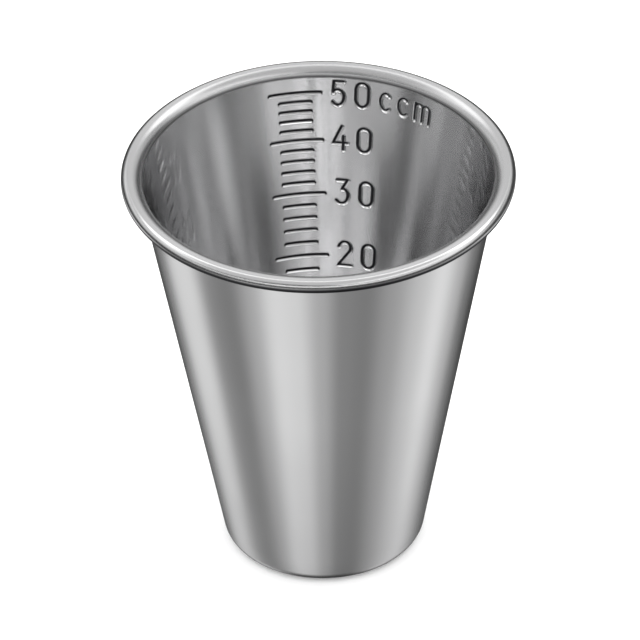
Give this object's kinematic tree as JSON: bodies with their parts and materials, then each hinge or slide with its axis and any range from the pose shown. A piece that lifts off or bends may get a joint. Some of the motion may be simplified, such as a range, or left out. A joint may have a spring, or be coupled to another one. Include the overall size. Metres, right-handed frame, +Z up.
{
  "type": "medicine cup",
  "caption": "Small tapered steel medicine cup with a rolled flared rim, a flat base and a volume scale stamped inside.",
  "frame": {"origin": "centre of the underside of the base", "axes": "+Z up along the axis of the cup, scale inside on the +Y side"},
  "size_m": [0.051, 0.051, 0.0576],
  "materials": {
    "steel": "satin"
  },
  "bodies": {
    "root": {"cup": "steel"}
  },
  "joints": []
}
